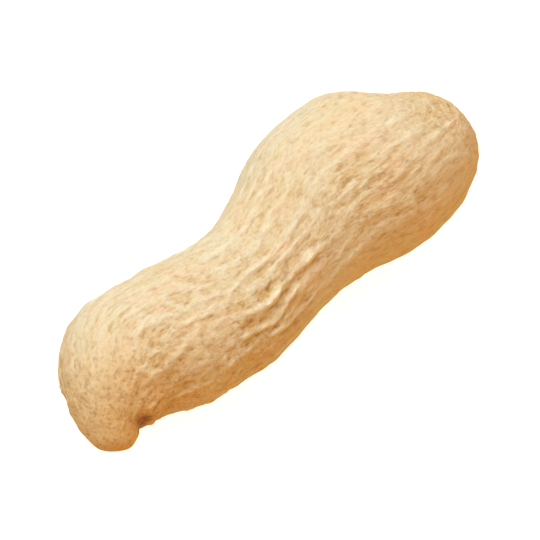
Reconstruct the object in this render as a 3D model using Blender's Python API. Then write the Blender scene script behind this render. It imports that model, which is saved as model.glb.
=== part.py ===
"""A peanut in its shell, lying on its side.

The pod is one grown piece, so it is one closed solid: rings swept from the beak at -X to the scar at +X,
where it hung from the plant. A raised net covers it: long ridges that run from end to end, and short cross
ridges between them. Each lobe rests on a small flat spot at z = 0.
"""

import math
import random

import bmesh
import bpy
import numpy as np
from mathutils import Vector, noise

MM = 0.001

# Stations from the beak to the scar: where the middle of the ring is (x along the pod, y sideways, z up, in
# millimetres), half its width and half its height in millimetres, then its turn to +Y and its tilt up in
# degrees.
STATIONS = (
    (-21.9, -4.1, 4.4, 0.0, 0.0, 48, 22),
    (-21.75, -3.85, 4.5, 1.4, 1.3, 47, 21),
    (-21.35, -3.2, 4.8, 2.15, 2.0, 46, 19),
    (-20.65, -2.5, 5.1, 3.1, 2.9, 43, 17),
    (-18.3, -0.8, 5.7, 5.1, 5.0, 34, 13),
    (-15.2, 0.25, 6.1, 6.75, 6.2, 18, 6),
    (-10.8, -0.2, 6.2, 6.5, 6.3, 3, 0),
    (-5.6, -1.0, 6.2, 6.15, 5.8, -4, 2),
    (-1.8, -0.7, 6.5, 5.75, 5.3, 4, 6),
    (2.0, 0.0, 6.9, 6.1, 5.9, 8, 6),
    (6.0, 0.7, 7.3, 7.2, 7.0, 4, 3),
    (10.4, 0.3, 7.5, 7.8, 7.6, 4, 2),
    (14.6, 0.2, 7.8, 7.5, 7.2, 14, 4),
    (17.5, 0.4, 8.0, 5.8, 5.7, 27, 8),
    (19.1, 1.5, 8.5, 3.2, 3.3, 38, 12),
    (20.3, 2.2, 8.8, 0.0, 0.0, 44, 14),
)
STEPS_BETWEEN_STATIONS = 40

# The grid of the solid: rings from end to end, and sides from each long ridge to the next.
RINGS = 60
SIDES_BETWEEN_RIDGES = 4

# The raised net. Ridges stand above the smooth pod, and the pits between them are sunk below it.
RIDGE_HEIGHT = 0.40 * MM
PIT_DEPTH = 0.28 * MM
NET_SEED = 7

# Long ridges, tall and low in turn. The first, and the one across from it, are the seams of the pod.
LONG_RIDGES = 24
RIDGE_HALF_WIDTH = 0.8 * MM
TALL_SHARES = (0.75, 1.05)
LOW_SHARES = (0.5, 0.85)
SEAM_SHARE = 1.25
SEAM_ANGLE = math.radians(-140.0)

# A long ridge drifts from its even place and zigzags, in shares of a gap. It also rises, sinks and breaks.
RIDGE_DRIFT = 0.4
DRIFT_LENGTH = 9.0 * MM
RIDGE_ZIGZAG = 0.4
ZIGZAG_LENGTH = 3.4 * MM
RIDGE_BREAKS = 0.6
RIDGE_LOSS = 0.18
BREAK_LENGTH = 3.6 * MM

# Cross ridges, staggered from one gap to the next, each on a ring of the grid.
CROSS_SPACING = 3.2 * MM
CROSS_JITTER = 0.25
CROSS_HALF_WIDTH = 0.9 * MM
CROSS_SLANT = 0.7 * MM
CROSS_SHARES = (0.6, 1.0)

# In a narrow gap a ridge keeps to this share of it.
NARROWEST_SHARE = 0.46

# Round the waist the long ridges stand taller and the cross ridges sink.
WAIST = -1.5 * MM
WAIST_REACH = 6.5 * MM
WAIST_EXTRA = 0.5

# The whole net wanders over the pod by this much, in bends this long.
WANDER = 0.8 * MM
WANDER_LENGTH = 6.0 * MM

# Shallow swellings make the lobes a little uneven.
SWELL = 0.25 * MM
SWELL_LENGTH = 7.0 * MM

# Beside the beak's blunt nub is a notch: its depth, its distance from the tip and its half-width, then its
# angle round the pod and how far it reaches to either side of that.
NOTCH_DEPTH = 0.95 * MM
NOTCH_PLACE = 3.9 * MM
NOTCH_HALF_WIDTH = 0.9 * MM
NOTCH_ANGLE = math.radians(185.0)
NOTCH_REACH = 0.8

# The scar is a dimple this deep, and this wide from its middle.
SCAR_DEPTH = 0.3 * MM
SCAR_RADIUS = 1.1 * MM

# The net fades where a ring is smaller than this, at the beak and at the scar.
FADE_RADIUS = 3.8 * MM
LEAST_RADIUS = 2.0 * MM

# The resting spots: the pod is flattened this deep, and its net is worn away round both of these points,
# where the shell faces down by more than the first of these shares, and wholly from the second.
FLAT_DEPTH = 0.4 * MM
SPOTS = ((-10.8 * MM, 0.0), (10.4 * MM, 0.6 * MM))
SPOT_RADIUS = 3.0 * MM
SPOT_EDGE = 2.0 * MM
FACING_DOWN = (0.5, 0.8)

# Each use of the noise reads a layer of its own, and each ridge a row of its own, this many bumps apart.
SWELL_LAYER = 1.3
ZIGZAG_LAYER = 2.2
WANDER_ALONG_LAYER = 3.1
DRIFT_LAYER = 5.4
BREAK_LAYER = 7.6
WANDER_ROUND_LAYER = 8.7
ROW_GAP = 3.3

# A normal is measured between points this far apart along the pod and round it.
NORMAL_STEP = 0.15 * MM
NORMAL_TURN = 0.02

SHELL_COLOUR = (0.72, 0.48, 0.24, 1.0)
SHELL_ROUGHNESS = 0.85


def smoothstep(x):
    """0 below 0, 1 above 1, and a smooth rise between."""
    x = np.clip(x, 0.0, 1.0)
    return x * x * (3 - 2 * x)


def noise_at(points, bump, layer):
    """Smooth noise from -1 to 1 at each point, with bumps of this length."""
    shift = Vector((layer, layer, layer))
    return np.array([noise.noise(Vector(point) / bump + shift) for point in points])


def blend(start, end, k, k_start, k_end):
    """The value at k on the straight line from start at k_start to end at k_end."""
    return ((k_end - k) * start + (k - k_start) * end) / (k_end - k_start)


def through_stations():
    """A smooth curve through the stations, and past both ends, where the rings turn inside out."""
    rows = np.array(STATIONS, float)
    before = 2 * rows[0] - rows[1]
    after = 2 * rows[-1] - rows[-2]
    before[3:5] = -rows[1, 3:5]
    after[3:5] = -rows[-2, 3:5]
    rows = np.vstack([before, rows, after])
    steps = np.linalg.norm(np.diff(rows[:, :5], axis=0), axis=1)
    knots = np.concatenate([[0], np.cumsum(np.sqrt(steps))])
    curve = [rows[1:2]]
    for number in range(len(rows) - 3):
        k0, k1, k2, k3 = knots[number : number + 4]
        p0, p1, p2, p3 = rows[number : number + 4]
        k = np.linspace(k1, k2, STEPS_BETWEEN_STATIONS + 1)[1:, None]
        a1 = blend(p0, p1, k, k0, k1)
        a2 = blend(p1, p2, k, k1, k2)
        a3 = blend(p2, p3, k, k2, k3)
        curve.append(blend(blend(a1, a2, k, k0, k2), blend(a2, a3, k, k1, k3), k, k1, k2))
    return np.vstack(curve)


class Pod:
    """The smooth pod, before its net: a point for each distance along it and each angle round it."""

    def __init__(self):
        rows = through_stations()
        self.middle = rows[:, :3] * MM
        self.half = rows[:, 3:5] * MM
        turn, tilt = np.radians(rows[:, 5:7]).T
        self.side = np.column_stack([-np.sin(turn), np.cos(turn), 0 * turn])
        self.top = np.column_stack([-np.sin(tilt) * np.cos(turn), -np.sin(tilt) * np.sin(turn), np.cos(tilt)])
        onward = np.linalg.norm(np.diff(self.middle, axis=0), axis=1)
        outward = np.diff(self.half.mean(axis=1))
        self.travel = np.concatenate([[0], np.cumsum(np.hypot(onward, outward))])
        self.length = self.travel[-1]

    def at(self, table, along):
        return np.column_stack([np.interp(along, self.travel, column) for column in table.T])

    def point(self, along, angle):
        half = self.at(self.half, along)
        sideways = half[:, :1] * np.cos(angle)[:, None] * self.at(self.side, along)
        upwards = half[:, 1:] * np.sin(angle)[:, None] * self.at(self.top, along)
        return self.at(self.middle, along) + sideways + upwards

    def radius(self, along):
        return self.at(self.half, along).mean(axis=1)

    def normal(self, along, angle):
        """The outward normal, from the points just beside each point."""
        along = np.clip(along, 2 * NORMAL_STEP, self.length - 2 * NORMAL_STEP)
        onward = self.point(along + NORMAL_STEP, angle) - self.point(along - NORMAL_STEP, angle)
        round_it = self.point(along, angle + NORMAL_TURN) - self.point(along, angle - NORMAL_TURN)
        out = np.cross(round_it, onward)
        return out / np.linalg.norm(out, axis=1)[:, None]


class Net:
    """The raised net. A turn is a place round the pod, counted in long ridges from the first seam."""

    def __init__(self, pod):
        draw = random.Random(NET_SEED)
        self.pod = pod
        self.shares = np.array([self.draw_share(draw, ridge) for ridge in range(LONG_RIDGES)])
        self.cross = [self.draw_cross_ridges(draw, gap) for gap in range(LONG_RIDGES)]

    def draw_share(self, draw, ridge):
        """How tall a long ridge stands, as a share of the ridge height."""
        share = draw.uniform(*(LOW_SHARES if ridge % 2 else TALL_SHARES))
        return share if ridge % (LONG_RIDGES // 2) else SEAM_SHARE

    def draw_cross_ridges(self, draw, gap):
        """One gap's cross ridges: place along the pod, slant and share of the ridge height."""
        ring = self.pod.length / RINGS
        ridges = []
        for number in range(int(self.pod.length / CROSS_SPACING) + 1):
            jitter = draw.uniform(-CROSS_JITTER, CROSS_JITTER)
            place = (number + 0.5 * (gap % 2) + jitter) * CROSS_SPACING
            slant = draw.uniform(-CROSS_SLANT, CROSS_SLANT)
            ridges.append((round(place / ring) * ring, slant, draw.uniform(*CROSS_SHARES)))
        return ridges

    def varied(self, ridge, along, bump, layer):
        """Noise that runs along each long ridge, and none along the seams."""
        ridge = ridge % LONG_RIDGES
        places = np.column_stack([along, 0 * along, ridge * ROW_GAP * bump])
        return np.where(ridge % (LONG_RIDGES // 2), noise_at(places, bump, layer), 0)

    def crest(self, ridge, along):
        """The turn at which a long ridge runs."""
        drift = RIDGE_DRIFT * self.varied(ridge, along, DRIFT_LENGTH, DRIFT_LAYER)
        return ridge + drift + RIDGE_ZIGZAG * self.varied(ridge, along, ZIGZAG_LENGTH, ZIGZAG_LAYER)

    def share(self, ridge, along):
        """How tall a long ridge stands at each place along it."""
        breaks = RIDGE_BREAKS * self.varied(ridge, along, BREAK_LENGTH, BREAK_LAYER)
        return self.shares[ridge % LONG_RIDGES] * (1 + breaks - RIDGE_LOSS)

    def angle(self, along, turn):
        gap = turn.astype(int)
        start, end = self.crest(gap, along), self.crest(gap + 1, along)
        return SEAM_ANGLE + (start + (turn - gap) * (end - start)) * 2 * math.pi / LONG_RIDGES

    def height(self, along, turn):
        """From 0 in a pit to about 1 on a ridge."""
        gap = turn.astype(int)
        across = turn - gap
        radius = np.maximum(self.pod.radius(along), LEAST_RADIUS)
        width = radius * (self.crest(gap + 1, along) - self.crest(gap, along)) * 2 * math.pi / LONG_RIDGES
        from_waist = (self.pod.at(self.pod.middle, along)[:, 0] - WAIST) / WAIST_REACH
        waist = WAIST_EXTRA * np.exp(-(from_waist**2))
        half = np.minimum(RIDGE_HALF_WIDTH, NARROWEST_SHARE * width)
        left = self.share(gap, along) * (1 - smoothstep(across * width / half))
        right = self.share(gap + 1, along) * (1 - smoothstep((1 - across) * width / half))
        return np.maximum((left + right) * (1 + waist), self.cross_height(gap, across, along) * (1 - waist))

    def cross_height(self, gap, across, along):
        height = np.zeros(len(along))
        for number, ridges in enumerate(self.cross):
            here = gap == number
            for place, slant, share in ridges:
                away = np.abs(along[here] - place - slant * (across[here] - 0.5))
                height[here] = np.maximum(height[here], share * (1 - smoothstep(away / CROSS_HALF_WIDTH)))
        return height


def worn(points, out):
    """0 on a resting spot, rising to 1 past its edge."""
    low, high = FACING_DOWN
    down = smoothstep((-out[:, 2] - low) / (high - low))
    share = np.ones(len(points))
    for x, y in SPOTS:
        away = np.hypot(points[:, 0] - x, points[:, 1] - y)
        share *= 1 - down * (1 - smoothstep((away - SPOT_RADIUS) / SPOT_EDGE))
    return share


def notch(along, angle):
    """1 in the middle of the notch, falling to 0 round it."""
    off = (along - NOTCH_PLACE) / NOTCH_HALF_WIDTH
    turned = (angle - NOTCH_ANGLE + math.pi) % (2 * math.pi) - math.pi
    return np.exp(-(off**2) - (turned / NOTCH_REACH) ** 2)


def shell_points(pod, net, along, turn):
    """The shell's surface: the smooth pod, its swellings and its net, flattened where it rests."""
    height = net.height(along, turn)
    angle = net.angle(along, turn)
    start = pod.point(along, angle)
    radius = pod.radius(along)
    fade = smoothstep(radius / FADE_RADIUS)
    wander = WANDER * fade * noise_at(start, WANDER_LENGTH, WANDER_ROUND_LAYER)
    angle = angle + wander / np.maximum(radius, LEAST_RADIUS)
    along = along + WANDER * fade * noise_at(start, WANDER_LENGTH, WANDER_ALONG_LAYER)
    points = pod.point(along, angle)
    out = pod.normal(along, angle)
    swell = SWELL * noise_at(points, SWELL_LENGTH, SWELL_LAYER)
    lift = (swell + RIDGE_HEIGHT * height - PIT_DEPTH) * fade * worn(points, out)
    lift -= SCAR_DEPTH * (1 - smoothstep((pod.length - along) / SCAR_RADIUS))
    lift -= NOTCH_DEPTH * notch(along, angle)
    points = points + out * lift[:, None]
    points[:, 2] = np.maximum(points[:, 2] - FLAT_DEPTH, 0.0)
    return points


def centred(points):
    """Moved sideways until the middle of the pod's box is over the origin."""
    middle = (points.min(axis=0) + points.max(axis=0)) / 2
    middle[2] = 0.0
    return points - middle


def shell_material():
    material = bpy.data.materials.new("peanut shell")
    material.use_nodes = True
    shader = material.node_tree.nodes["Principled BSDF"]
    shader.inputs["Base Color"].default_value = SHELL_COLOUR
    shader.inputs["Roughness"].default_value = SHELL_ROUGHNESS
    return material


def peanut_pod(collection):
    """A sphere with its poles at the beak and the scar, each of its points moved to the shell."""
    sides = LONG_RIDGES * SIDES_BETWEEN_RIDGES
    ball = bmesh.new()
    bmesh.ops.create_uvsphere(ball, u_segments=sides, v_segments=RINGS, radius=1.0)
    directions = np.array([vertex.co.normalized() for vertex in ball.verts])
    pod = Pod()
    along = np.arccos(np.clip(-directions[:, 2], -1, 1)) / math.pi * pod.length
    column = np.round(np.arctan2(directions[:, 1], directions[:, 0]) / (2 * math.pi) * sides) % sides
    points = centred(shell_points(pod, Net(pod), along, column / SIDES_BETWEEN_RIDGES))
    for vertex, point in zip(ball.verts, points):
        vertex.co = point
    bmesh.ops.recalc_face_normals(ball, faces=ball.faces)
    mesh = bpy.data.meshes.new("peanut_pod")
    ball.to_mesh(mesh)
    ball.free()
    mesh.shade_smooth()
    mesh.materials.append(shell_material())
    collection.objects.link(bpy.data.objects.new("peanut_pod", mesh))


def main():
    for old in list(bpy.data.objects):
        bpy.data.objects.remove(old)
    collection = bpy.data.collections.new("peanut")
    bpy.context.scene.collection.children.link(collection)
    peanut_pod(collection)


main()
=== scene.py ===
"""Dresses a peanut in its shell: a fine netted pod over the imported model's plain one, and a stage for it.

The pod repeats the part's own stations, long ridges and seeds on a finer grid and is fitted to the box of the
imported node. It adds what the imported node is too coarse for: side veins, wrinkles, dents, worn spots in the
ridges, furrows by the notch, the scar's rim and the dry, fibrous finish.
"""

import math
import random

import bpy
import numpy as np
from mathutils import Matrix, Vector, noise


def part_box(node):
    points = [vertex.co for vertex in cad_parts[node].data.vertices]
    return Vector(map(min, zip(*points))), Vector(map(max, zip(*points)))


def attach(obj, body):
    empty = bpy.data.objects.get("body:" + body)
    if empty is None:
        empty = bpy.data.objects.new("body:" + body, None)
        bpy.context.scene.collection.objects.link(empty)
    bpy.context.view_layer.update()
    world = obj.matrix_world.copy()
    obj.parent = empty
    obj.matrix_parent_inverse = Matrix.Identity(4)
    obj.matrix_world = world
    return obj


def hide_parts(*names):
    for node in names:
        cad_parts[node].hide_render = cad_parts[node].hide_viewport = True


bl_info = {
    "name": "Peanut",
    "version": (1, 0, 0),
    "blender": (4, 5, 0),
    "location": "3D View > Sidebar > Peanut",
    "description": "Models a peanut in its shell, its dry netted finish and a plain stage",
    "category": "Add Mesh",
}

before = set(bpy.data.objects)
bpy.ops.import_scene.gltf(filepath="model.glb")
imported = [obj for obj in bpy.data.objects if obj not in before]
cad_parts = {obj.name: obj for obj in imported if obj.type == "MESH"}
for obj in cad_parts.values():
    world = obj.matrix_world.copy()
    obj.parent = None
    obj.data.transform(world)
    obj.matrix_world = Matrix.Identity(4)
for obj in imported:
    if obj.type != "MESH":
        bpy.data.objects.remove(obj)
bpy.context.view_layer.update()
POD_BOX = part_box("peanut_pod")

MM = 0.001

# Stations from the beak to the scar: where the middle of the ring is (x along the pod, y sideways, z up, in
# millimetres), half its width and half its height in millimetres, then its turn to +Y and its tilt up in
# degrees.
STATIONS = (
    (-21.9, -4.1, 4.4, 0.0, 0.0, 48, 22),
    (-21.75, -3.85, 4.5, 1.4, 1.3, 47, 21),
    (-21.35, -3.2, 4.8, 2.15, 2.0, 46, 19),
    (-20.65, -2.5, 5.1, 3.1, 2.9, 43, 17),
    (-18.3, -0.8, 5.7, 5.1, 5.0, 34, 13),
    (-15.2, 0.25, 6.1, 6.75, 6.2, 18, 6),
    (-10.8, -0.2, 6.2, 6.5, 6.3, 3, 0),
    (-5.6, -1.0, 6.2, 6.15, 5.8, -4, 2),
    (-1.8, -0.7, 6.5, 5.75, 5.3, 4, 6),
    (2.0, 0.0, 6.9, 6.1, 5.9, 8, 6),
    (6.0, 0.7, 7.3, 7.2, 7.0, 4, 3),
    (10.4, 0.3, 7.5, 7.8, 7.6, 4, 2),
    (14.6, 0.2, 7.8, 7.5, 7.2, 14, 4),
    (17.5, 0.4, 8.0, 5.8, 5.7, 27, 8),
    (19.1, 1.5, 8.5, 3.2, 3.3, 38, 12),
    (20.3, 2.2, 8.8, 0.0, 0.0, 44, 14),
)
STEPS_BETWEEN_STATIONS = 40

# The grid of the visible pod.
RINGS = 340
SIDES_BETWEEN_RIDGES = 12

# The part's own grid has this many rings, and the cross ridges keep to them.
PART_RINGS = 60

# Long ridges, tall and low in turn. The first, and the one across from it, are the seams of the pod.
NET_SEED = 7
LONG_RIDGES = 24
RIDGE_TURN = 2 * math.pi / LONG_RIDGES
RIDGE_HALF_WIDTH = 0.8 * MM
TALL_SHARES = (0.75, 1.05)
LOW_SHARES = (0.5, 0.85)
SEAM_SHARE = 1.25
SEAM_ANGLE = math.radians(-140.0)

# A long ridge drifts from its even place and zigzags, in shares of a gap. It also rises, sinks and breaks,
# and loses a share of its height.
RIDGE_DRIFT = 0.4
DRIFT_LENGTH = 9.0 * MM
RIDGE_ZIGZAG = 0.4
ZIGZAG_LENGTH = 3.4 * MM
RIDGE_BREAKS = 0.8
RIDGE_LOSS = 0.18
BREAK_LENGTH = 3.0 * MM

# Cross ridges, staggered from one gap to the next, each on a ring of the part's grid.
CROSS_SPACING = 3.2 * MM
CROSS_JITTER = 0.25
CROSS_HALF_WIDTH = 0.9 * MM
CROSS_SLANT = 0.7 * MM
CROSS_SHARES = (0.6, 1.0)

# Cross ridges are worn lower than long ones. A power narrows the ridges and widens the pits.
CROSS_STRENGTH = 0.75
RIDGE_SHARPNESS = 1.4

# In a narrow gap a ridge keeps to this share of it.
NARROWEST_SHARE = 0.46

# Round the waist the long ridges stand taller and the cross ridges sink.
WAIST = -1.5 * MM
WAIST_REACH = 6.5 * MM
WAIST_EXTRA = 0.5

# The whole net wanders over the pod by this much, in bends this long.
WANDER = 0.8 * MM
WANDER_LENGTH = 6.0 * MM

# Shallow swellings make the lobes a little uneven.
SWELL = 0.25 * MM
SWELL_LENGTH = 7.0 * MM

# The net fades where a ring is smaller than the first radius, at the beak and at the scar. Steps round the
# pod are measured on a ring no smaller than the second.
FADE_RADIUS = 3.8 * MM
LEAST_RADIUS = 2.0 * MM

# The scar is a dimple this wide from its middle, with a rim round it.
SCAR_RADIUS = 1.1 * MM
RIM_RADIUS = 1.3 * MM
RIM_HALF_WIDTH = 0.7 * MM

# The resting spots, where the shell faces down by more than the first of these shares, and wholly from the
# second.
FLAT_DEPTH = 0.4 * MM
SPOTS = ((-10.8 * MM, 0.0), (10.4 * MM, 0.6 * MM))
SPOT_RADIUS = 3.0 * MM
SPOT_EDGE = 2.0 * MM
FACING_DOWN = (0.5, 0.8)

# Side veins: thin raised lines in the pits, about this long and this far apart.
VEIN_LENGTH = 2.2 * MM
VEIN_WIDTH = 1.0 * MM
VEIN_SHARPNESS = 0.3

# Dents: small uneven hollows. Wrinkles: short ones along the pod, this long and this wide.
DENT_LENGTH = 1.7 * MM
WRINKLE_LENGTH = 1.2 * MM
WRINKLE_WIDTH = 0.48 * MM

# The net is worn down by up to this share in spots this long. How far it is worn is noise with this contrast
# around this level.
BROKEN_SHARE = 0.65
BROKEN_LENGTH = 1.1 * MM
BROKEN_LEVEL = 0.4
BROKEN_CONTRAST = 1.2

# The net is faint in places this long, down to the first share, and elsewhere it has the second. Noise around
# this level tells which.
FAINT_LENGTH = 6.0 * MM
FAINT_SHARES = (0.35, 0.85)
FAINT_LEVEL = 0.5

# It is clearer on the beak's lobe than on the other, by up to this share, from one end of this reach to the
# other.
CLEARER_SHARE = 0.25
CLEARER_REACH = 10.0 * MM

# Along its seams the pod is calmer, by this share.
CALM_SHARE = 0.6

# A crease runs through the waist at its own angle, and the net is at least this clear in it.
CREASE_ANGLE = math.radians(135.0)
CREASE_REACH = 5.5 * MM
CREASE_TURN = 0.6
CREASE_SHARE = 0.85

# Towards the beak's tip and the scar the net dies down to this share over these lengths. They end short of
# both, by these shares of themselves.
END_SHARE = 0.15
BEAK_LENGTH = 7.0 * MM
SCAR_LENGTH = 6.5 * MM
BEAK_LEAST = 0.2
SCAR_LEAST = 0.1

# Where the net is faint, the veins, wrinkles and dents keep this share.
SMOOTH_SHARE = 0.35

# The notch beside the beak's nub: its distance from the tip, its half-width and its angle and reach round it.
NOTCH_PLACE = 3.9 * MM
NOTCH_HALF_WIDTH = 0.9 * MM
NOTCH_ANGLE = math.radians(185.0)
NOTCH_TURN = 0.8

# Furrows run up from the notch: the net is clear here, this far along and round the pod, up to this share.
FURROW_PLACE = 5.6 * MM
FURROW_REACH = 2.6 * MM
FURROW_TURN = 0.75
FURROW_SHARE = 0.9

# The faint patches lie on a pod laid out straight, with this radius all along.
STRAIGHT_RADIUS = 6.6 * MM

# The tips are brown up to here, and it fades over this length. The beak's keeps only this share of it. The
# notch and its furrows are darkened by these shares of their own depth: painted shade, with some brown.
TIP_START = 0.4 * MM
TIP_FADE = 1.6 * MM
BEAK_TIP_SHARE = 0.15
NOTCH_SHADE_TINT = 1.5
FURROW_SHADE_TINT = 0.1

# The shell turns golden over these lengths towards the beak and the scar.
GOLDEN_LENGTHS = (14.0 * MM, 11.0 * MM)

# The finish takes veins and wrinkles for a part of the net, by these shares.
VEIN_PALENESS = 0.3
WRINKLE_PALENESS = 0.15

# Each use of the noise reads a layer of its own, and each ridge a row of its own, this many bumps apart.
SWELL_LAYER = 1.3
ZIGZAG_LAYER = 2.2
WANDER_ALONG_LAYER = 3.1
DRIFT_LAYER = 5.4
BREAK_LAYER = 7.6
WANDER_ROUND_LAYER = 8.7
VEIN_LAYER = 11.5
DENT_LAYER = 14.2
WRINKLE_LAYER = 16.9
FAINT_LAYER = 18.4
BROKEN_LAYER = 20.6
ROW_GAP = 3.3

# A normal is measured between points this far apart along the pod and round it.
NORMAL_STEP = 0.15 * MM
NORMAL_TURN = 0.02

# What the finish follows at each point, written as attributes: the height of the net, how clear it is, how
# brown the tips are together with the shade painted into the notch and its furrows, and how golden the shell
# is.
SHARE_NAMES = ("net", "clear", "tips_and_notch_shade", "golden")

# Patterns of the finish: how long their spots are along the pod, how wide round it, and their detail.
PATTERNS = {
    # Bundles of fibre. A real fibre is about a tenth as wide, too fine to show.
    "fibre": (1.0 * MM, 0.42 * MM, 2.0),
    # Threads between the bundles.
    "thread": (0.55 * MM, 0.24 * MM, 2.0),
    # Grain of the papery skin.
    "grain": (0.35 * MM, 0.3 * MM, 4.0),
    # Pinkish patches.
    "blush": (4.0 * MM, 2.5 * MM, 3.0),
    # Ochre patches.
    "blotch": (8.0 * MM, 5.0 * MM, 3.0),
}

# How each part of the finish follows what it is named after: a range of that, and what the range becomes.
UNEVEN_BY_GRAIN = (0.3, 0.7, -0.25, 0.25)
SUNK_BY_NET = (0.0, 0.65, 1.0, 0.0)
PINK_BY_BLUSH = (0.48, 0.66, 0.0, 0.4)
OCHRE_BY_BLOTCH = (0.42, 0.75, 0.0, 0.3)
STREAK_BY_FIBRE = (0.32, 0.5, 1.0, 0.0)
# In the pits the streaks are darker: painted shade.
STREAK_SHADE_BY_SUNK = (0.0, 1.0, 0.15, 0.75)
LINE_BY_THREAD = (0.3, 0.5, 0.16, 0.0)
SPECK_BY_GRAIN = (0.34, 0.47, 1.0, 0.0)
SPECK_BY_GOLDEN = (0.0, 1.0, 0.12, 0.55)
# The tips' own brown, and painted shade in the notch and its furrows.
BROWN_AND_SHADE_BY_TIPS = (0.0, 1.0, 0.0, 0.8)
# Crests paled partly by wear and partly as painted highlight.
WORN_AND_HIGHLIGHT_BY_NET = (0.7, 1.3, 0.0, 0.6)
WORN_AND_HIGHLIGHT_BY_FIBRE = (0.42, 0.58, 0.0, 1.0)
ROUGHNESS_BY_GRAIN = (0.3, 0.7, 0.78, 0.95)
BUMP_BY_CLEAR = (0.0, 1.0, 0.35, 0.9)

# How much ochre the golden ends add, how much of the bump is grain, and how high the bump is.
OCHRE_OF_GOLDEN = 0.7
GRAIN_IN_BUMP = 0.8
BUMP_HEIGHT = 0.12 * MM

# The stage. Directions are shares of the camera's right, up and back.
SENSOR = 36.0
CLIP_START = 0.01
FLOOR_SIZE = 4.0
FLOOR_GAP = 0.02 * MM
KEY_SIDE = (-0.35, 0.85, 0.9)
KEY_DISTANCE = 0.54
KEY_SIZE = 0.5
KEY_COLOUR = (0.92, 0.98, 1.0)
FLOOR_LIGHT_HEIGHT = 1.0
FLOOR_LIGHT_SIZE = 1.0
WHITE = (1.0, 1.0, 1.0)

# The sky is warm below the first of these shares of the way to its pale side, and pale from the second.
PALE_SIDE = (-0.5, 0.8, 0.35)
PALE_BY_SIDE = (-0.6, 0.4, 0.0, 1.0)

# Kinds of node that recur, each with its one output.
MAP_RANGE = ("ShaderNodeMapRange", "Result")
MATH = ("ShaderNodeMath", "Value")

# A Mix node's colour inputs and result share their names with its other kinds, so they go by number.
MIX_FACTOR, MIX_A, MIX_B, MIX_RESULT = 0, 6, 7, 2


def linear(code):
    """An sRGB hex colour as linear red, green and blue."""
    parts = [int(code[i : i + 2], 16) / 255 for i in (1, 3, 5)]
    return tuple(c / 12.92 if c <= 0.04045 else ((c + 0.055) / 1.055) ** 2.4 for c in parts)


class PeanutNet(bpy.types.PropertyGroup):
    """Heights of the pod's relief."""

    ridge_height: bpy.props.FloatProperty(
        name="Ridge height",
        description="How far a ridge of the net stands up",
        default=0.30 * MM,
        unit="LENGTH",
    )
    pit_depth: bpy.props.FloatProperty(
        name="Pit depth",
        description="How far a pit is sunk",
        default=0.20 * MM,
        unit="LENGTH",
    )
    vein_height: bpy.props.FloatProperty(
        name="Vein height",
        description="How far the side veins stand up",
        default=0.07 * MM,
        unit="LENGTH",
    )
    dent_depth: bpy.props.FloatProperty(
        name="Dent depth",
        description="How uneven the shell is between its veins",
        default=0.15 * MM,
        unit="LENGTH",
    )
    wrinkle_height: bpy.props.FloatProperty(
        name="Wrinkle height",
        description="How far the short wrinkles stand up",
        default=0.12 * MM,
        unit="LENGTH",
    )
    notch_depth: bpy.props.FloatProperty(
        name="Notch depth",
        description="How far the notch beside the beak is sunk",
        default=0.95 * MM,
        unit="LENGTH",
    )
    scar_depth: bpy.props.FloatProperty(
        name="Scar depth",
        description="How far the stem scar is sunk",
        default=0.3 * MM,
        unit="LENGTH",
    )
    rim_height: bpy.props.FloatProperty(
        name="Rim height",
        description="How far the rim round the scar stands up",
        default=0.08 * MM,
        unit="LENGTH",
    )


class PeanutColours(bpy.types.PropertyGroup):
    """Colours of the dry shell."""

    crest: bpy.props.FloatVectorProperty(
        name="Crests",
        description="Pale straw of the ridges",
        default=linear("#C3B79C"),
        subtype="COLOR",
    )
    # Partly the pits' own tan and partly painted shade in the hollows.
    pit: bpy.props.FloatVectorProperty(
        name="Pits",
        description="Tan of the pits",
        default=linear("#B99B66"),
        subtype="COLOR",
    )
    # Crests paled partly by wear and partly as painted highlight.
    worn: bpy.props.FloatVectorProperty(
        name="Worn crests",
        description="Palest tops of the ridges",
        default=linear("#DCD2BE"),
        subtype="COLOR",
    )
    blush: bpy.props.FloatVectorProperty(
        name="Blush",
        description="Faint pinkish patches",
        default=linear("#CBB49E"),
        subtype="COLOR",
    )
    patch: bpy.props.FloatVectorProperty(
        name="Patches",
        description="Ochre of the patches and of the golden ends",
        default=linear("#C39F64"),
        subtype="COLOR",
    )
    # Its streaks are darkest in the pits, where the darkening is painted shade.
    fleck: bpy.props.FloatVectorProperty(
        name="Flecks",
        description="Brown of the fine streaks, lines and specks",
        default=linear("#8C5C28"),
        subtype="COLOR",
    )
    # The tips' own brown. In the notch and its furrows it is painted shade.
    tip: bpy.props.FloatVectorProperty(
        name="Tips",
        description="Brown of the beak's tip, the notch and the scar",
        default=linear("#74421F"),
        subtype="COLOR",
    )


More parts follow.
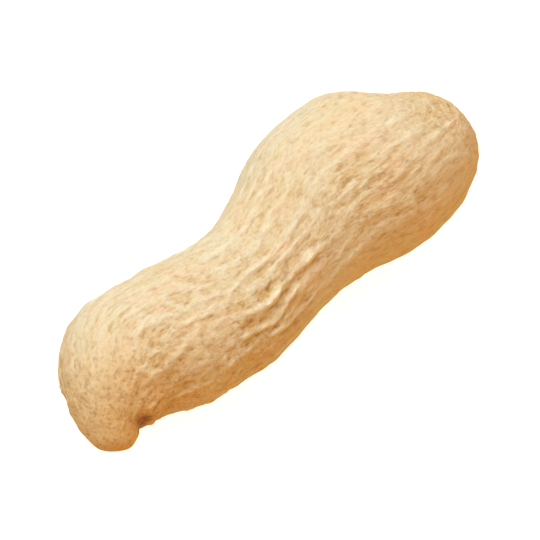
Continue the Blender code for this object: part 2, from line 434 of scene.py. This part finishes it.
class PeanutStage(bpy.types.PropertyGroup):
    """Camera, lights and floor."""

    azimuth: bpy.props.FloatProperty(
        name="Azimuth",
        description="Camera's turn round the pod",
        default=math.radians(-44),
        subtype="ANGLE",
    )
    elevation: bpy.props.FloatProperty(
        name="Elevation",
        description="Camera's height over the floor",
        default=math.radians(55),
        subtype="ANGLE",
    )
    lens: bpy.props.FloatProperty(
        name="Lens",
        description="Focal length",
        default=600.0,
        unit="CAMERA",
    )
    fill_share: bpy.props.FloatProperty(
        name="Fill",
        description="Share of the picture's width that the pod takes",
        default=0.78,
        subtype="FACTOR",
    )
    key_power: bpy.props.FloatProperty(
        name="Key light",
        description="Power of the soft light above the camera, a little to its left",
        default=4.4,
        unit="POWER",
    )
    floor_power: bpy.props.FloatProperty(
        name="Floor light",
        description="Power of the light that keeps the floor white",
        default=18.0,
        unit="POWER",
    )
    sky_strength: bpy.props.FloatProperty(
        name="Sky",
        description="Brightness of the even light on the pale side",
        default=0.6,
    )
    sky_colour: bpy.props.FloatVectorProperty(
        name="Sky colour",
        description="Colour of that light",
        default=linear("#FFF6E6"),
        subtype="COLOR",
    )
    warm_strength: bpy.props.FloatProperty(
        name="Warm",
        description="Brightness of the even light on the warm side",
        default=1.42,
    )
    warm_colour: bpy.props.FloatVectorProperty(
        name="Warm colour",
        description="Colour of that light",
        default=linear("#FFC062"),
        subtype="COLOR",
    )
    floor_colour: bpy.props.FloatVectorProperty(
        name="Floor",
        description="Pale paper floor",
        default=linear("#ECE3D6"),
        subtype="COLOR",
    )


def smoothstep(x):
    """0 below 0, 1 above 1, and a smooth rise between."""
    x = np.clip(x, 0.0, 1.0)
    return x * x * (3 - 2 * x)


def noise_at(points, bump, layer):
    """Smooth noise from -1 to 1 at each point, with bumps of this length."""
    shift = Vector((layer, layer, layer))
    return np.array([noise.noise(Vector(point) / bump + shift) for point in points])


def blend(start, end, k, k_start, k_end):
    """The value at k on the straight line from start at k_start to end at k_end."""
    return ((k_end - k) * start + (k - k_start) * end) / (k_end - k_start)


def through_stations():
    """A smooth curve through the stations, and past both ends, where the rings turn inside out."""
    rows = np.array(STATIONS, float)
    before = 2 * rows[0] - rows[1]
    after = 2 * rows[-1] - rows[-2]
    before[3:5] = -rows[1, 3:5]
    after[3:5] = -rows[-2, 3:5]
    rows = np.vstack([before, rows, after])
    steps = np.linalg.norm(np.diff(rows[:, :5], axis=0), axis=1)
    knots = np.concatenate([[0], np.cumsum(np.sqrt(steps))])
    curve = [rows[1:2]]
    for number in range(len(rows) - 3):
        k0, k1, k2, k3 = knots[number : number + 4]
        p0, p1, p2, p3 = rows[number : number + 4]
        k = np.linspace(k1, k2, STEPS_BETWEEN_STATIONS + 1)[1:, None]
        a1 = blend(p0, p1, k, k0, k1)
        a2 = blend(p1, p2, k, k1, k2)
        a3 = blend(p2, p3, k, k2, k3)
        curve.append(blend(blend(a1, a2, k, k0, k2), blend(a2, a3, k, k1, k3), k, k1, k2))
    return np.vstack(curve)


class Pod:
    """The smooth pod, before its net: a point for each distance along it and each angle round it."""

    def __init__(self):
        rows = through_stations()
        self.middle = rows[:, :3] * MM
        self.half = rows[:, 3:5] * MM
        turn, tilt = np.radians(rows[:, 5:7]).T
        self.side = np.column_stack([-np.sin(turn), np.cos(turn), 0 * turn])
        self.top = np.column_stack([-np.sin(tilt) * np.cos(turn), -np.sin(tilt) * np.sin(turn), np.cos(tilt)])
        onward = np.linalg.norm(np.diff(self.middle, axis=0), axis=1)
        outward = np.diff(self.half.mean(axis=1))
        self.travel = np.concatenate([[0], np.cumsum(np.hypot(onward, outward))])
        self.length = self.travel[-1]

    def at(self, table, along):
        return np.column_stack([np.interp(along, self.travel, column) for column in table.T])

    def point(self, along, angle):
        half = self.at(self.half, along)
        sideways = half[:, :1] * np.cos(angle)[:, None] * self.at(self.side, along)
        upwards = half[:, 1:] * np.sin(angle)[:, None] * self.at(self.top, along)
        return self.at(self.middle, along) + sideways + upwards

    def radius(self, along):
        return self.at(self.half, along).mean(axis=1)

    def normal(self, along, angle):
        """The outward normal, from the points just beside each point."""
        along = np.clip(along, 2 * NORMAL_STEP, self.length - 2 * NORMAL_STEP)
        onward = self.point(along + NORMAL_STEP, angle) - self.point(along - NORMAL_STEP, angle)
        round_it = self.point(along, angle + NORMAL_TURN) - self.point(along, angle - NORMAL_TURN)
        out = np.cross(round_it, onward)
        return out / np.linalg.norm(out, axis=1)[:, None]


class Net:
    """The raised net. A turn is a place round the pod, counted in long ridges from the first seam."""

    def __init__(self, pod):
        draw = random.Random(NET_SEED)
        self.pod = pod
        self.shares = np.array([self.draw_share(draw, ridge) for ridge in range(LONG_RIDGES)])
        self.cross = [self.draw_cross_ridges(draw, gap) for gap in range(LONG_RIDGES)]

    def draw_share(self, draw, ridge):
        """How tall a long ridge stands, as a share of the ridge height."""
        share = draw.uniform(*(LOW_SHARES if ridge % 2 else TALL_SHARES))
        return share if ridge % (LONG_RIDGES // 2) else SEAM_SHARE

    def draw_cross_ridges(self, draw, gap):
        """One gap's cross ridges: place along the pod, slant and share of the ridge height."""
        ring = self.pod.length / PART_RINGS
        ridges = []
        for number in range(int(self.pod.length / CROSS_SPACING) + 1):
            jitter = draw.uniform(-CROSS_JITTER, CROSS_JITTER)
            place = (number + 0.5 * (gap % 2) + jitter) * CROSS_SPACING
            slant = draw.uniform(-CROSS_SLANT, CROSS_SLANT)
            ridges.append((round(place / ring) * ring, slant, draw.uniform(*CROSS_SHARES)))
        return ridges

    def varied(self, ridge, along, bump, layer):
        """Noise that runs along each long ridge, and none along the seams."""
        ridge = ridge % LONG_RIDGES
        places = np.column_stack([along, 0 * along, ridge * ROW_GAP * bump])
        return np.where(ridge % (LONG_RIDGES // 2), noise_at(places, bump, layer), 0)

    def crest(self, ridge, along):
        """The turn at which a long ridge runs."""
        drift = RIDGE_DRIFT * self.varied(ridge, along, DRIFT_LENGTH, DRIFT_LAYER)
        return ridge + drift + RIDGE_ZIGZAG * self.varied(ridge, along, ZIGZAG_LENGTH, ZIGZAG_LAYER)

    def share(self, ridge, along):
        """How tall a long ridge stands at each place along it."""
        breaks = RIDGE_BREAKS * self.varied(ridge, along, BREAK_LENGTH, BREAK_LAYER)
        return self.shares[ridge % LONG_RIDGES] * (1 + breaks - RIDGE_LOSS)

    def laid(self, along, turn):
        """The net's height, from 0 in a pit to about 1 on a ridge, and the angle round the pod."""
        gap = turn.astype(int)
        across = turn - gap
        start, end = self.crest(gap, along), self.crest(gap + 1, along)
        angle = SEAM_ANGLE + (start + across * (end - start)) * RIDGE_TURN
        radius = np.maximum(self.pod.radius(along), LEAST_RADIUS)
        width = radius * (end - start) * RIDGE_TURN
        from_waist = (self.pod.at(self.pod.middle, along)[:, 0] - WAIST) / WAIST_REACH
        waist = WAIST_EXTRA * np.exp(-(from_waist**2))
        half = np.minimum(RIDGE_HALF_WIDTH, NARROWEST_SHARE * width)
        left = self.share(gap, along) * (1 - smoothstep(across * width / half))
        right = self.share(gap + 1, along) * (1 - smoothstep((1 - across) * width / half))
        cross = CROSS_STRENGTH * self.cross_height(gap, across, along) * (1 - waist)
        return np.maximum((left + right) * (1 + waist), cross) ** RIDGE_SHARPNESS, angle

    def cross_height(self, gap, across, along):
        height = np.zeros(len(along))
        for number, ridges in enumerate(self.cross):
            here = gap == number
            for place, slant, share in ridges:
                away = np.abs(along[here] - place - slant * (across[here] - 0.5))
                height[here] = np.maximum(height[here], share * (1 - smoothstep(away / CROSS_HALF_WIDTH)))
        return height


def worn(points, out):
    """0 on a resting spot, rising to 1 past its edge."""
    low, high = FACING_DOWN
    down = smoothstep((-out[:, 2] - low) / (high - low))
    share = np.ones(len(points))
    for x, y in SPOTS:
        away = np.hypot(points[:, 0] - x, points[:, 1] - y)
        share *= 1 - down * (1 - smoothstep((away - SPOT_RADIUS) / SPOT_EDGE))
    return share


def fitted(points, box):
    """Moved and scaled, by under a hundredth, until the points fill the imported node's box."""
    low, high = (np.array(corner) for corner in box)
    lowest, highest = points.min(axis=0), points.max(axis=0)
    return low + (points - lowest) / (highest - lowest) * (high - low)


def turned(angle, start):
    """The angle from the start, between minus and plus half a turn."""
    return (angle - start + math.pi) % (2 * math.pi) - math.pi


def drawn_noise(straight, length, width, layer):
    """Noise drawn out along the pod."""
    return noise_at(straight / np.array([length, width, width]), 1.0, layer)


def ridged(straight, length, width, layer):
    """Thin lines, from 0 to 1, where noise drawn out along the pod passes through 0."""
    return 1 - smoothstep(np.abs(drawn_noise(straight, length, width, layer)) / VEIN_SHARPNESS)


def straightened(along, radius, angle):
    """The place on a pod laid out straight."""
    return np.column_stack([along, radius * np.cos(angle), radius * np.sin(angle)])


class Shell:
    """The visible shell: its points, and the shares that its finish follows at each of them."""

    def __init__(self, along, turn, sizes):
        pod = Pod()
        height, angle = Net(pod).laid(along, turn)
        start = pod.point(along, angle)
        spots = BROKEN_LEVEL + BROKEN_CONTRAST * noise_at(start, BROKEN_LENGTH, BROKEN_LAYER)
        height *= 1 - BROKEN_SHARE * smoothstep(spots)
        radius = pod.radius(along)
        around = np.maximum(radius, LEAST_RADIUS)
        fade = smoothstep(radius / FADE_RADIUS)
        angle = angle + WANDER * fade * noise_at(start, WANDER_LENGTH, WANDER_ROUND_LAYER) / around
        along = along + WANDER * fade * noise_at(start, WANDER_LENGTH, WANDER_ALONG_LAYER)
        from_scar = pod.length - along
        points = pod.point(along, angle)
        out = pod.normal(along, angle)
        clear = self.clearness(points, along, from_scar, angle) * fade
        rough = SMOOTH_SHARE + (1 - SMOOTH_SHARE) * clear
        self.straight = straightened(along, around, angle)
        veins = ridged(self.straight, VEIN_LENGTH, VEIN_WIDTH, VEIN_LAYER)
        wrinkles = drawn_noise(self.straight, WRINKLE_LENGTH, WRINKLE_WIDTH, WRINKLE_LAYER)

        lift = fade * SWELL * noise_at(points, SWELL_LENGTH, SWELL_LAYER)
        lift += clear * (sizes.ridge_height * height - sizes.pit_depth)
        lift += fade * rough * (sizes.vein_height * veins + sizes.wrinkle_height * wrinkles)
        lift += rough * sizes.dent_depth * noise_at(points, DENT_LENGTH, DENT_LAYER)
        lift *= worn(points, out)
        lift -= sizes.scar_depth * (1 - smoothstep(from_scar / SCAR_RADIUS))
        lift += sizes.rim_height * (1 - smoothstep(np.abs(from_scar - RIM_RADIUS) / RIM_HALF_WIDTH))
        lift -= sizes.notch_depth * self.notch(along, angle)
        points = points + out * lift[:, None]
        points[:, 2] = np.maximum(points[:, 2] - FLAT_DEPTH, 0.0)
        self.points = fitted(points, POD_BOX)

        net = height + VEIN_PALENESS * veins + WRINKLE_PALENESS * wrinkles
        tips_and_notch_shade = self.brownness_and_notch_shade(along, from_scar, angle)
        golden = 1 - smoothstep(np.minimum(along / GOLDEN_LENGTHS[0], from_scar / GOLDEN_LENGTHS[1]))
        self.shares = dict(zip(SHARE_NAMES, (net, clear, tips_and_notch_shade, golden)))

    def clearness(self, points, along, from_scar, angle):
        """How clear the net is: faint in patches, by the seams and at the ends, and not in the crease."""
        straight = straightened(along, STRAIGHT_RADIUS, angle)
        low, high = FAINT_SHARES
        patches = low + (high - low) * smoothstep(FAINT_LEVEL + noise_at(straight, FAINT_LENGTH, FAINT_LAYER))
        patches *= 1 - CLEARER_SHARE * np.clip(points[:, 0] / CLEARER_REACH, -1, 1)
        calm = CALM_SHARE * (0.5 + 0.5 * np.cos(2 * (angle - SEAM_ANGLE)))
        from_waist = (points[:, 0] - WAIST) / CREASE_REACH
        crease = CREASE_SHARE * np.exp(-(from_waist**2) - (turned(angle, CREASE_ANGLE) / CREASE_TURN) ** 2)
        ends = smoothstep(along / BEAK_LENGTH - BEAK_LEAST) * smoothstep(from_scar / SCAR_LENGTH - SCAR_LEAST)
        net = np.maximum(patches * (1 - calm), crease) * (END_SHARE + (1 - END_SHARE) * ends)
        return np.maximum(net, FURROW_SHARE * self.furrows(along, angle))

    def brownness_and_notch_shade(self, along, from_scar, angle):
        """How brown the shell is at the beak's tip and the scar, and the shade painted as brown into the notch
        and the furrows.
        """
        beak_tip, scar_tip = (1 - smoothstep((away - TIP_START) / TIP_FADE) for away in (along, from_scar))
        notch = smoothstep(NOTCH_SHADE_TINT * self.notch(along, angle))
        furrows = FURROW_SHADE_TINT * self.furrows(along, angle)
        return np.maximum.reduce([BEAK_TIP_SHARE * beak_tip, scar_tip, notch, furrows])

    def furrows(self, along, angle):
        off = (along - FURROW_PLACE) / FURROW_REACH
        return np.exp(-(off**2) - (turned(angle, NOTCH_ANGLE) / FURROW_TURN) ** 2)

    def notch(self, along, angle):
        off = (along - NOTCH_PLACE) / NOTCH_HALF_WIDTH
        return np.exp(-(off**2) - (turned(angle, NOTCH_ANGLE) / NOTCH_TURN) ** 2)


def add_node(tree, kind, output, inputs=(), **settings):
    """Adds a node with its settings and gives back one of its outputs.

    Its inputs are named or numbered in a dictionary, or stand in a list in the node's own order. One that is
    a socket is linked, and any other is set.
    """
    node = tree.nodes.new(kind)
    for name, value in settings.items():
        setattr(node, name, value)
    for name, value in inputs.items() if isinstance(inputs, dict) else enumerate(inputs):
        if isinstance(value, bpy.types.NodeSocket):
            tree.links.new(value, node.inputs[name])
        else:
            node.inputs[name].default_value = value
    return node.outputs[output]


def dry_peanut_shell(colours):
    """Dried plant fibre: cellulose and lignin, grown as a net of veins over a papery skin and then roasted.

    It is matt and slightly see-through, palest on the crests, partly worn and partly painted highlight, and
    tan in the pits, partly their own colour and partly painted shade, with fibres along the pod.
    """
    material = bpy.data.materials.new("dry_peanut_shell")
    material.use_nodes = True
    tree = material.node_tree
    shader = tree.nodes["Principled BSDF"]
    straight = add_node(tree, "ShaderNodeAttribute", "Vector", attribute_name="straight")
    net, clear, tips_and_notch_shade, golden = (
        add_node(tree, "ShaderNodeAttribute", "Fac", attribute_name=name) for name in SHARE_NAMES
    )
    spots = {}
    for name, (length, width, detail) in PATTERNS.items():
        inputs = {"Vector": straight, "Scale": (1 / length, 1 / width, 1 / width)}
        place = add_node(tree, "ShaderNodeMapping", "Vector", inputs)
        inputs = {"Vector": place, "Scale": 1.0, "Detail": detail}
        spots[name] = add_node(tree, "ShaderNodeTexNoise", "Fac", inputs)

    # How deep a point lies in a pit: 1 in the middle of a clear one, 0 on the crests and where the net is
    # faint. It lays the pit colour, partly the pits' own tan and partly painted shade in the hollows.
    uneven = add_node(tree, *MAP_RANGE, [spots["grain"], *UNEVEN_BY_GRAIN])
    sunk = add_node(tree, *MATH, [net, uneven], operation="ADD")
    sunk = add_node(tree, *MAP_RANGE, [sunk, *SUNK_BY_NET])
    sunk = add_node(tree, *MATH, [sunk, clear], operation="MULTIPLY")

    # Pinkish patches, and ochre ones that are thickest at the golden ends.
    pink = add_node(tree, *MAP_RANGE, [spots["blush"], *PINK_BY_BLUSH])
    ochre = add_node(tree, *MAP_RANGE, [spots["blotch"], *OCHRE_BY_BLOTCH])
    inputs = [golden, OCHRE_OF_GOLDEN, ochre]
    ochre = add_node(tree, *MATH, inputs, operation="MULTIPLY_ADD", use_clamp=True)

    # Brown streaks between the bundles of fibre, darkest in the pits, where the darkening is painted shade,
    # finer lines between the threads, and specks in the grain, most at the golden ends.
    streak = add_node(tree, *MAP_RANGE, [spots["fibre"], *STREAK_BY_FIBRE])
    # depth darkens the streaks in the pits: painted shade.
    depth = add_node(tree, *MAP_RANGE, [sunk, *STREAK_SHADE_BY_SUNK])
    streak = add_node(tree, *MATH, [streak, depth], operation="MULTIPLY")
    line = add_node(tree, *MAP_RANGE, [spots["thread"], *LINE_BY_THREAD])
    speck = add_node(tree, *MAP_RANGE, [spots["grain"], *SPECK_BY_GRAIN])
    often = add_node(tree, *MAP_RANGE, [golden, *SPECK_BY_GOLDEN])
    speck = add_node(tree, *MATH, [speck, often], operation="MULTIPLY")

    # Brown tips with shade painted into the notch and its furrows, and crests painted pale where the net is
    # clear, partly as wear and partly as painted highlight, broken up by the fibres.
    # brown holds the tips' own brown and the painted shade in the notch and its furrows.
    brown = add_node(tree, *MAP_RANGE, [tips_and_notch_shade, *BROWN_AND_SHADE_BY_TIPS])
    high = add_node(tree, *MAP_RANGE, [net, *WORN_AND_HIGHLIGHT_BY_NET])
    high = add_node(tree, *MATH, [high, clear], operation="MULTIPLY")
    broken = add_node(tree, *MAP_RANGE, [spots["fibre"], *WORN_AND_HIGHLIGHT_BY_FIBRE])
    high = add_node(tree, *MATH, [high, broken], operation="MULTIPLY")

    # Over the crests go the pits' tan (partly painted shade), blush, ochre, streaks (darkened in the pits as
    # painted shade), lines, specks, the tips' brown (painted shade in the notch and furrows) and the worn
    # crests (partly painted highlight).
    layers = (
        (sunk, colours.pit),
        (pink, colours.blush),
        (ochre, colours.patch),
        (streak, colours.fleck),
        (line, colours.fleck),
        (speck, colours.fleck),
        (brown, colours.tip),
        (high, colours.worn),
    )
    colour = (*colours.crest, 1)
    for share, over in layers:
        inputs = {MIX_FACTOR: share, MIX_A: colour, MIX_B: (*over, 1)}
        colour = add_node(tree, "ShaderNodeMix", MIX_RESULT, inputs, data_type="RGBA")
    tree.links.new(colour, shader.inputs["Base Color"])

    roughness = add_node(tree, *MAP_RANGE, [spots["grain"], *ROUGHNESS_BY_GRAIN])
    tree.links.new(roughness, shader.inputs["Roughness"])
    shader.inputs["Specular IOR Level"].default_value = 0.3
    shader.inputs["Subsurface Weight"].default_value = 0.3
    shader.inputs["Subsurface Radius"].default_value = (1.0, 0.45, 0.15)
    shader.inputs["Subsurface Scale"].default_value = 1.2 * MM

    # Fibres, threads and grain stand up a little, most where the net is clear.
    weave = add_node(tree, *MATH, [spots["fibre"], spots["thread"]], operation="ADD")
    weave = add_node(tree, *MATH, [spots["grain"], GRAIN_IN_BUMP, weave], operation="MULTIPLY_ADD")
    strength = add_node(tree, *MAP_RANGE, [clear, *BUMP_BY_CLEAR])
    inputs = {"Height": weave, "Strength": strength, "Distance": BUMP_HEIGHT}
    tree.links.new(add_node(tree, "ShaderNodeBump", "Normal", inputs), shader.inputs["Normal"])
    return material


def white_paper(stage):
    """Uncoated white paper, matt and plain."""
    material = bpy.data.materials.new("white_paper")
    material.use_nodes = True
    shader = material.node_tree.nodes["Principled BSDF"]
    shader.inputs["Base Color"].default_value = (*stage.floor_colour, 1)
    shader.inputs["Roughness"].default_value = 0.9
    shader.inputs["Specular IOR Level"].default_value = 0.1
    return material


def write_attribute(mesh, name, kind, values):
    attribute = mesh.attributes.new(name, kind, "POINT")
    field = "vector" if kind == "FLOAT_VECTOR" else "value"
    attribute.data.foreach_set(field, values.astype(np.float32).ravel())


def grid_of(mesh, sides):
    """Each vertex's share of the way from pole to pole and its column round the sphere."""
    directions = np.zeros(len(mesh.vertices) * 3, np.float32)
    mesh.vertices.foreach_get("co", directions)
    directions = directions.reshape(-1, 3).astype(float)
    directions /= np.linalg.norm(directions, axis=1)[:, None]
    column = np.round(np.arctan2(directions[:, 1], directions[:, 0]) / (2 * math.pi) * sides) % sides
    return np.arccos(np.clip(-directions[:, 2], -1, 1)) / math.pi, column


class OBJECT_OT_peanut_pod(bpy.types.Operator):
    """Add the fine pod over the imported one, and give it its dry, netted finish"""

    bl_idname = "object.peanut_pod"
    bl_label = "Peanut Pod"

    def execute(self, context):
        bpy.ops.object.select_all(action="DESELECT")
        sides = LONG_RIDGES * SIDES_BETWEEN_RIDGES
        bpy.ops.mesh.primitive_uv_sphere_add(segments=sides, ring_count=RINGS, radius=1.0)
        pod = context.active_object
        pod.name = "pod"
        share, column = grid_of(pod.data, sides)
        shell = Shell(share * Pod().length, column / SIDES_BETWEEN_RIDGES, context.scene.peanut_net)
        pod.data.vertices.foreach_set("co", shell.points.astype(np.float32).ravel())
        write_attribute(pod.data, "straight", "FLOAT_VECTOR", shell.straight)
        for name, shares in shell.shares.items():
            write_attribute(pod.data, name, "FLOAT", shares)
        pod.data.update()
        bpy.ops.object.mode_set(mode="EDIT")
        bpy.ops.mesh.select_all(action="SELECT")
        bpy.ops.mesh.normals_make_consistent(inside=False)
        bpy.ops.object.mode_set(mode="OBJECT")
        bpy.ops.object.shade_smooth()
        pod.data.materials.append(dry_peanut_shell(context.scene.peanut_colours))
        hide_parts("peanut_pod")
        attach(pod, "root")
        return {"FINISHED"}


def aimed(thing, target):
    """Turns a camera or a light at the target."""
    thing.rotation_euler = (Vector(target) - thing.location).to_track_quat("-Z", "Y").to_euler()


def camera_axes(stage):
    """The camera's right, up and back, as unit vectors."""
    a, e = stage.azimuth, stage.elevation
    right = Vector((math.cos(a), math.sin(a), 0))
    back = Vector((math.sin(a) * math.cos(e), -math.cos(a) * math.cos(e), math.sin(e)))
    return right, back.cross(right), back


def summed(axes, shares):
    """The vector with these shares of the axes."""
    return sum((axis * share for axis, share in zip(axes, shares)), Vector())


def add_area_light(name, location, target, size, power, colour):
    bpy.ops.object.light_add(type="AREA", location=location)
    light = bpy.context.active_object
    light.name = name
    light.data.size = size
    light.data.energy = power
    light.data.color = colour
    aimed(light, target)
    return light


def lit_alone(light, thing):
    """Keeps the light to this one object."""
    receivers = bpy.data.collections.new(light.name + " receivers")
    receivers.objects.link(thing)
    light.light_linking.receiver_collection = receivers


class SCENE_OT_peanut_stage(bpy.types.Operator):
    """Add the floor, the lights and the camera"""

    bl_idname = "scene.peanut_stage"
    bl_label = "Peanut Stage"

    def execute(self, context):
        stage = context.scene.peanut_stage
        axes = camera_axes(stage)
        pod = bpy.data.objects["pod"]
        points = np.array([vertex.co for vertex in pod.data.vertices])
        spans = [points @ np.array(axis) for axis in axes]
        target = summed(axes, [(span.min() + span.max()) / 2 for span in spans])
        floor = self.add_floor(stage)
        self.add_camera(context, stage, target, axes[2], spans[0].max() - spans[0].min())
        self.light_pod(stage, pod, target, axes)
        self.light_floor(stage, floor, target)
        self.light_sky(context, stage, summed(axes, PALE_SIDE).normalized())
        context.scene.view_settings.view_transform = "Standard"
        return {"FINISHED"}

    def add_floor(self, stage):
        bpy.ops.object.select_all(action="DESELECT")
        bpy.ops.mesh.primitive_plane_add(size=FLOOR_SIZE, location=(0, 0, POD_BOX[0][2] - FLOOR_GAP))
        floor = bpy.context.active_object
        floor.name = "floor"
        floor.data.materials.append(white_paper(stage))
        # The pod is lit from below by the sky's warm lower half, and not by the white floor.
        floor.visible_diffuse = False
        return floor

    def add_camera(self, context, stage, target, back, width):
        distance = width / stage.fill_share * stage.lens / SENSOR
        bpy.ops.object.camera_add(location=target + back * distance)
        camera = bpy.context.active_object
        camera.data.lens = stage.lens
        camera.data.sensor_width = SENSOR
        camera.data.clip_start = CLIP_START
        aimed(camera, target)
        context.scene.camera = camera

    def light_pod(self, stage, pod, target, axes):
        location = target + summed(axes, KEY_SIDE).normalized() * KEY_DISTANCE
        lit_alone(add_area_light("key", location, target, KEY_SIZE, stage.key_power, KEY_COLOUR), pod)

    def light_floor(self, stage, floor, target):
        location = target + Vector((0, 0, FLOOR_LIGHT_HEIGHT))
        light = add_area_light("floor light", location, target, FLOOR_LIGHT_SIZE, stage.floor_power, WHITE)
        light.data.use_shadow = False
        lit_alone(light, floor)

    def light_sky(self, context, stage, pale_side):
        """A soft tent of light, pale on one side and warm across from it, that looks white itself."""
        world = bpy.data.worlds.new("sky")
        context.scene.world = world
        world.use_nodes = True
        tree = world.node_tree
        place = add_node(tree, "ShaderNodeTexCoord", "Generated")
        inputs = [place, tuple(pale_side)]
        to_pale = add_node(tree, "ShaderNodeVectorMath", "Value", inputs, operation="DOT_PRODUCT")
        to_pale = add_node(tree, *MAP_RANGE, [to_pale, *PALE_BY_SIDE])
        pale = [stage.sky_strength * c for c in stage.sky_colour]
        colour = [stage.warm_strength * c for c in stage.warm_colour]
        seen = add_node(tree, "ShaderNodeLightPath", "Is Camera Ray")
        colour = (*colour, 1)
        for share, over in ((to_pale, pale), (seen, WHITE)):
            inputs = {MIX_FACTOR: share, MIX_A: colour, MIX_B: (*over, 1)}
            colour = add_node(tree, "ShaderNodeMix", MIX_RESULT, inputs, data_type="RGBA")
        tree.links.new(colour, tree.nodes["Background"].inputs["Color"])


class VIEW3D_PT_peanut(bpy.types.Panel):
    """Sizes, colours and steps of the peanut"""

    bl_label = "Peanut"
    bl_space_type = "VIEW_3D"
    bl_region_type = "UI"
    bl_category = "Peanut"

    def draw(self, context):
        layout = self.layout
        for group in (context.scene.peanut_net, context.scene.peanut_colours, context.scene.peanut_stage):
            for name in group.bl_rna.properties.keys():
                if name not in ("rna_type", "name"):
                    layout.prop(group, name)
        layout.operator(OBJECT_OT_peanut_pod.bl_idname)
        layout.operator(SCENE_OT_peanut_stage.bl_idname)


CLASSES = (
    PeanutNet,
    PeanutColours,
    PeanutStage,
    OBJECT_OT_peanut_pod,
    SCENE_OT_peanut_stage,
    VIEW3D_PT_peanut,
)


def register():
    for cls in CLASSES:
        bpy.utils.register_class(cls)
    bpy.types.Scene.peanut_net = bpy.props.PointerProperty(type=PeanutNet)
    bpy.types.Scene.peanut_colours = bpy.props.PointerProperty(type=PeanutColours)
    bpy.types.Scene.peanut_stage = bpy.props.PointerProperty(type=PeanutStage)


def unregister():
    del bpy.types.Scene.peanut_stage
    del bpy.types.Scene.peanut_colours
    del bpy.types.Scene.peanut_net
    for cls in reversed(CLASSES):
        bpy.utils.unregister_class(cls)


def main():
    register()
    bpy.ops.object.peanut_pod()
    bpy.ops.scene.peanut_stage()


if __name__ == "__main__":
    main()
